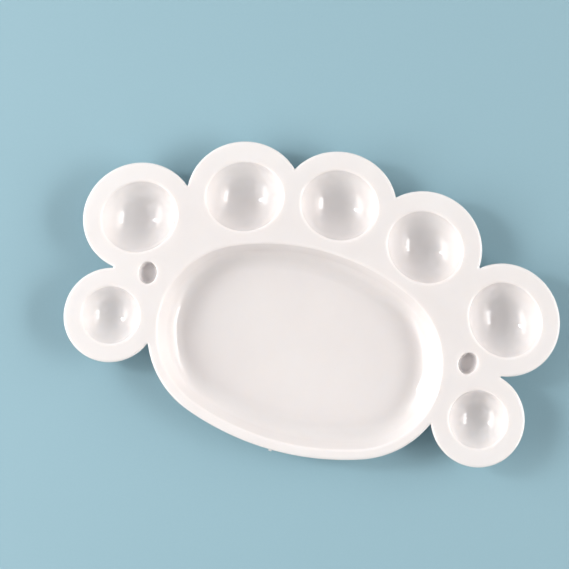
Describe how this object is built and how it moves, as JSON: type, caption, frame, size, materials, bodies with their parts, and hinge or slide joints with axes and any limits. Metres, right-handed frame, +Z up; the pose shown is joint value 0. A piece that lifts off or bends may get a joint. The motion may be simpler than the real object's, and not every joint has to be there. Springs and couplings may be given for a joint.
{
  "type": "mixing palette",
  "caption": "Fan-shaped one-piece plastic paint palette: round bowl wells and two small cups round an oval mixing dish.",
  "frame": {"origin": "on the table, under the middle of the mixing dish's widest line, at the centre of its resting face", "axes": "+X along the palette's length to the right, +Y from the dish towards the fan of wells, +Z up"},
  "size_m": [0.24, 0.151, 0.017],
  "materials": {
    "moulded_plastic": "glossy white injection-moulded plastic"
  },
  "bodies": {
    "root": {"mixing_dish": "moulded_plastic", "paint_well_1": "moulded_plastic", "paint_well_2": "moulded_plastic", "paint_well_3": "moulded_plastic", "paint_well_4": "moulded_plastic", "paint_well_5": "moulded_plastic", "paint_well_6": "moulded_plastic", "paint_well_7": "moulded_plastic", "side_cup_left": "moulded_plastic", "side_cup_right": "moulded_plastic"}
  },
  "joints": []
}
